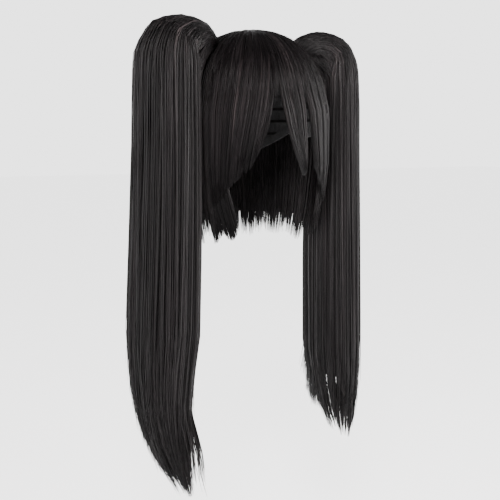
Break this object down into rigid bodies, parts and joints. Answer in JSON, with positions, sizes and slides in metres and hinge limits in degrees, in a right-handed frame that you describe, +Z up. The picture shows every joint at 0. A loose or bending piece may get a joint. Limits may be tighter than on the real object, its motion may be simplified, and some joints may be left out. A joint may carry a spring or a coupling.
{
  "type": "pigtail wig",
  "caption": "Long straight black wig with a swept fringe, chin-length side and back hair and two high thick pigtails, on a stretch cap.",
  "frame": {"origin": "inside of the cap at the top of the crown, where the wig sits on a head", "axes": "+Z up along the wearer's height, the wearer faces -Y, +X towards the wearer's left"},
  "size_m": [0.319, 0.2235, 0.558],
  "materials": {
    "hair": "straight synthetic fibre, near black, silky with long soft highlights",
    "cap_net": "black stretch net with rows of sewn weft, matte",
    "clip": "plain black plastic"
  },
  "bodies": {
    "root": {"cap": "cap_net", "crown_hair": "hair", "nape_hair": "hair", "fringe_right": "hair", "fringe_centre": "hair", "fringe_left": "hair", "side_lock_right": "hair", "side_lock_left": "hair", "tail_clip_right": "clip", "tail_clip_left": "clip", "tail_right": "hair", "tail_left": "hair"}
  },
  "joints": []
}
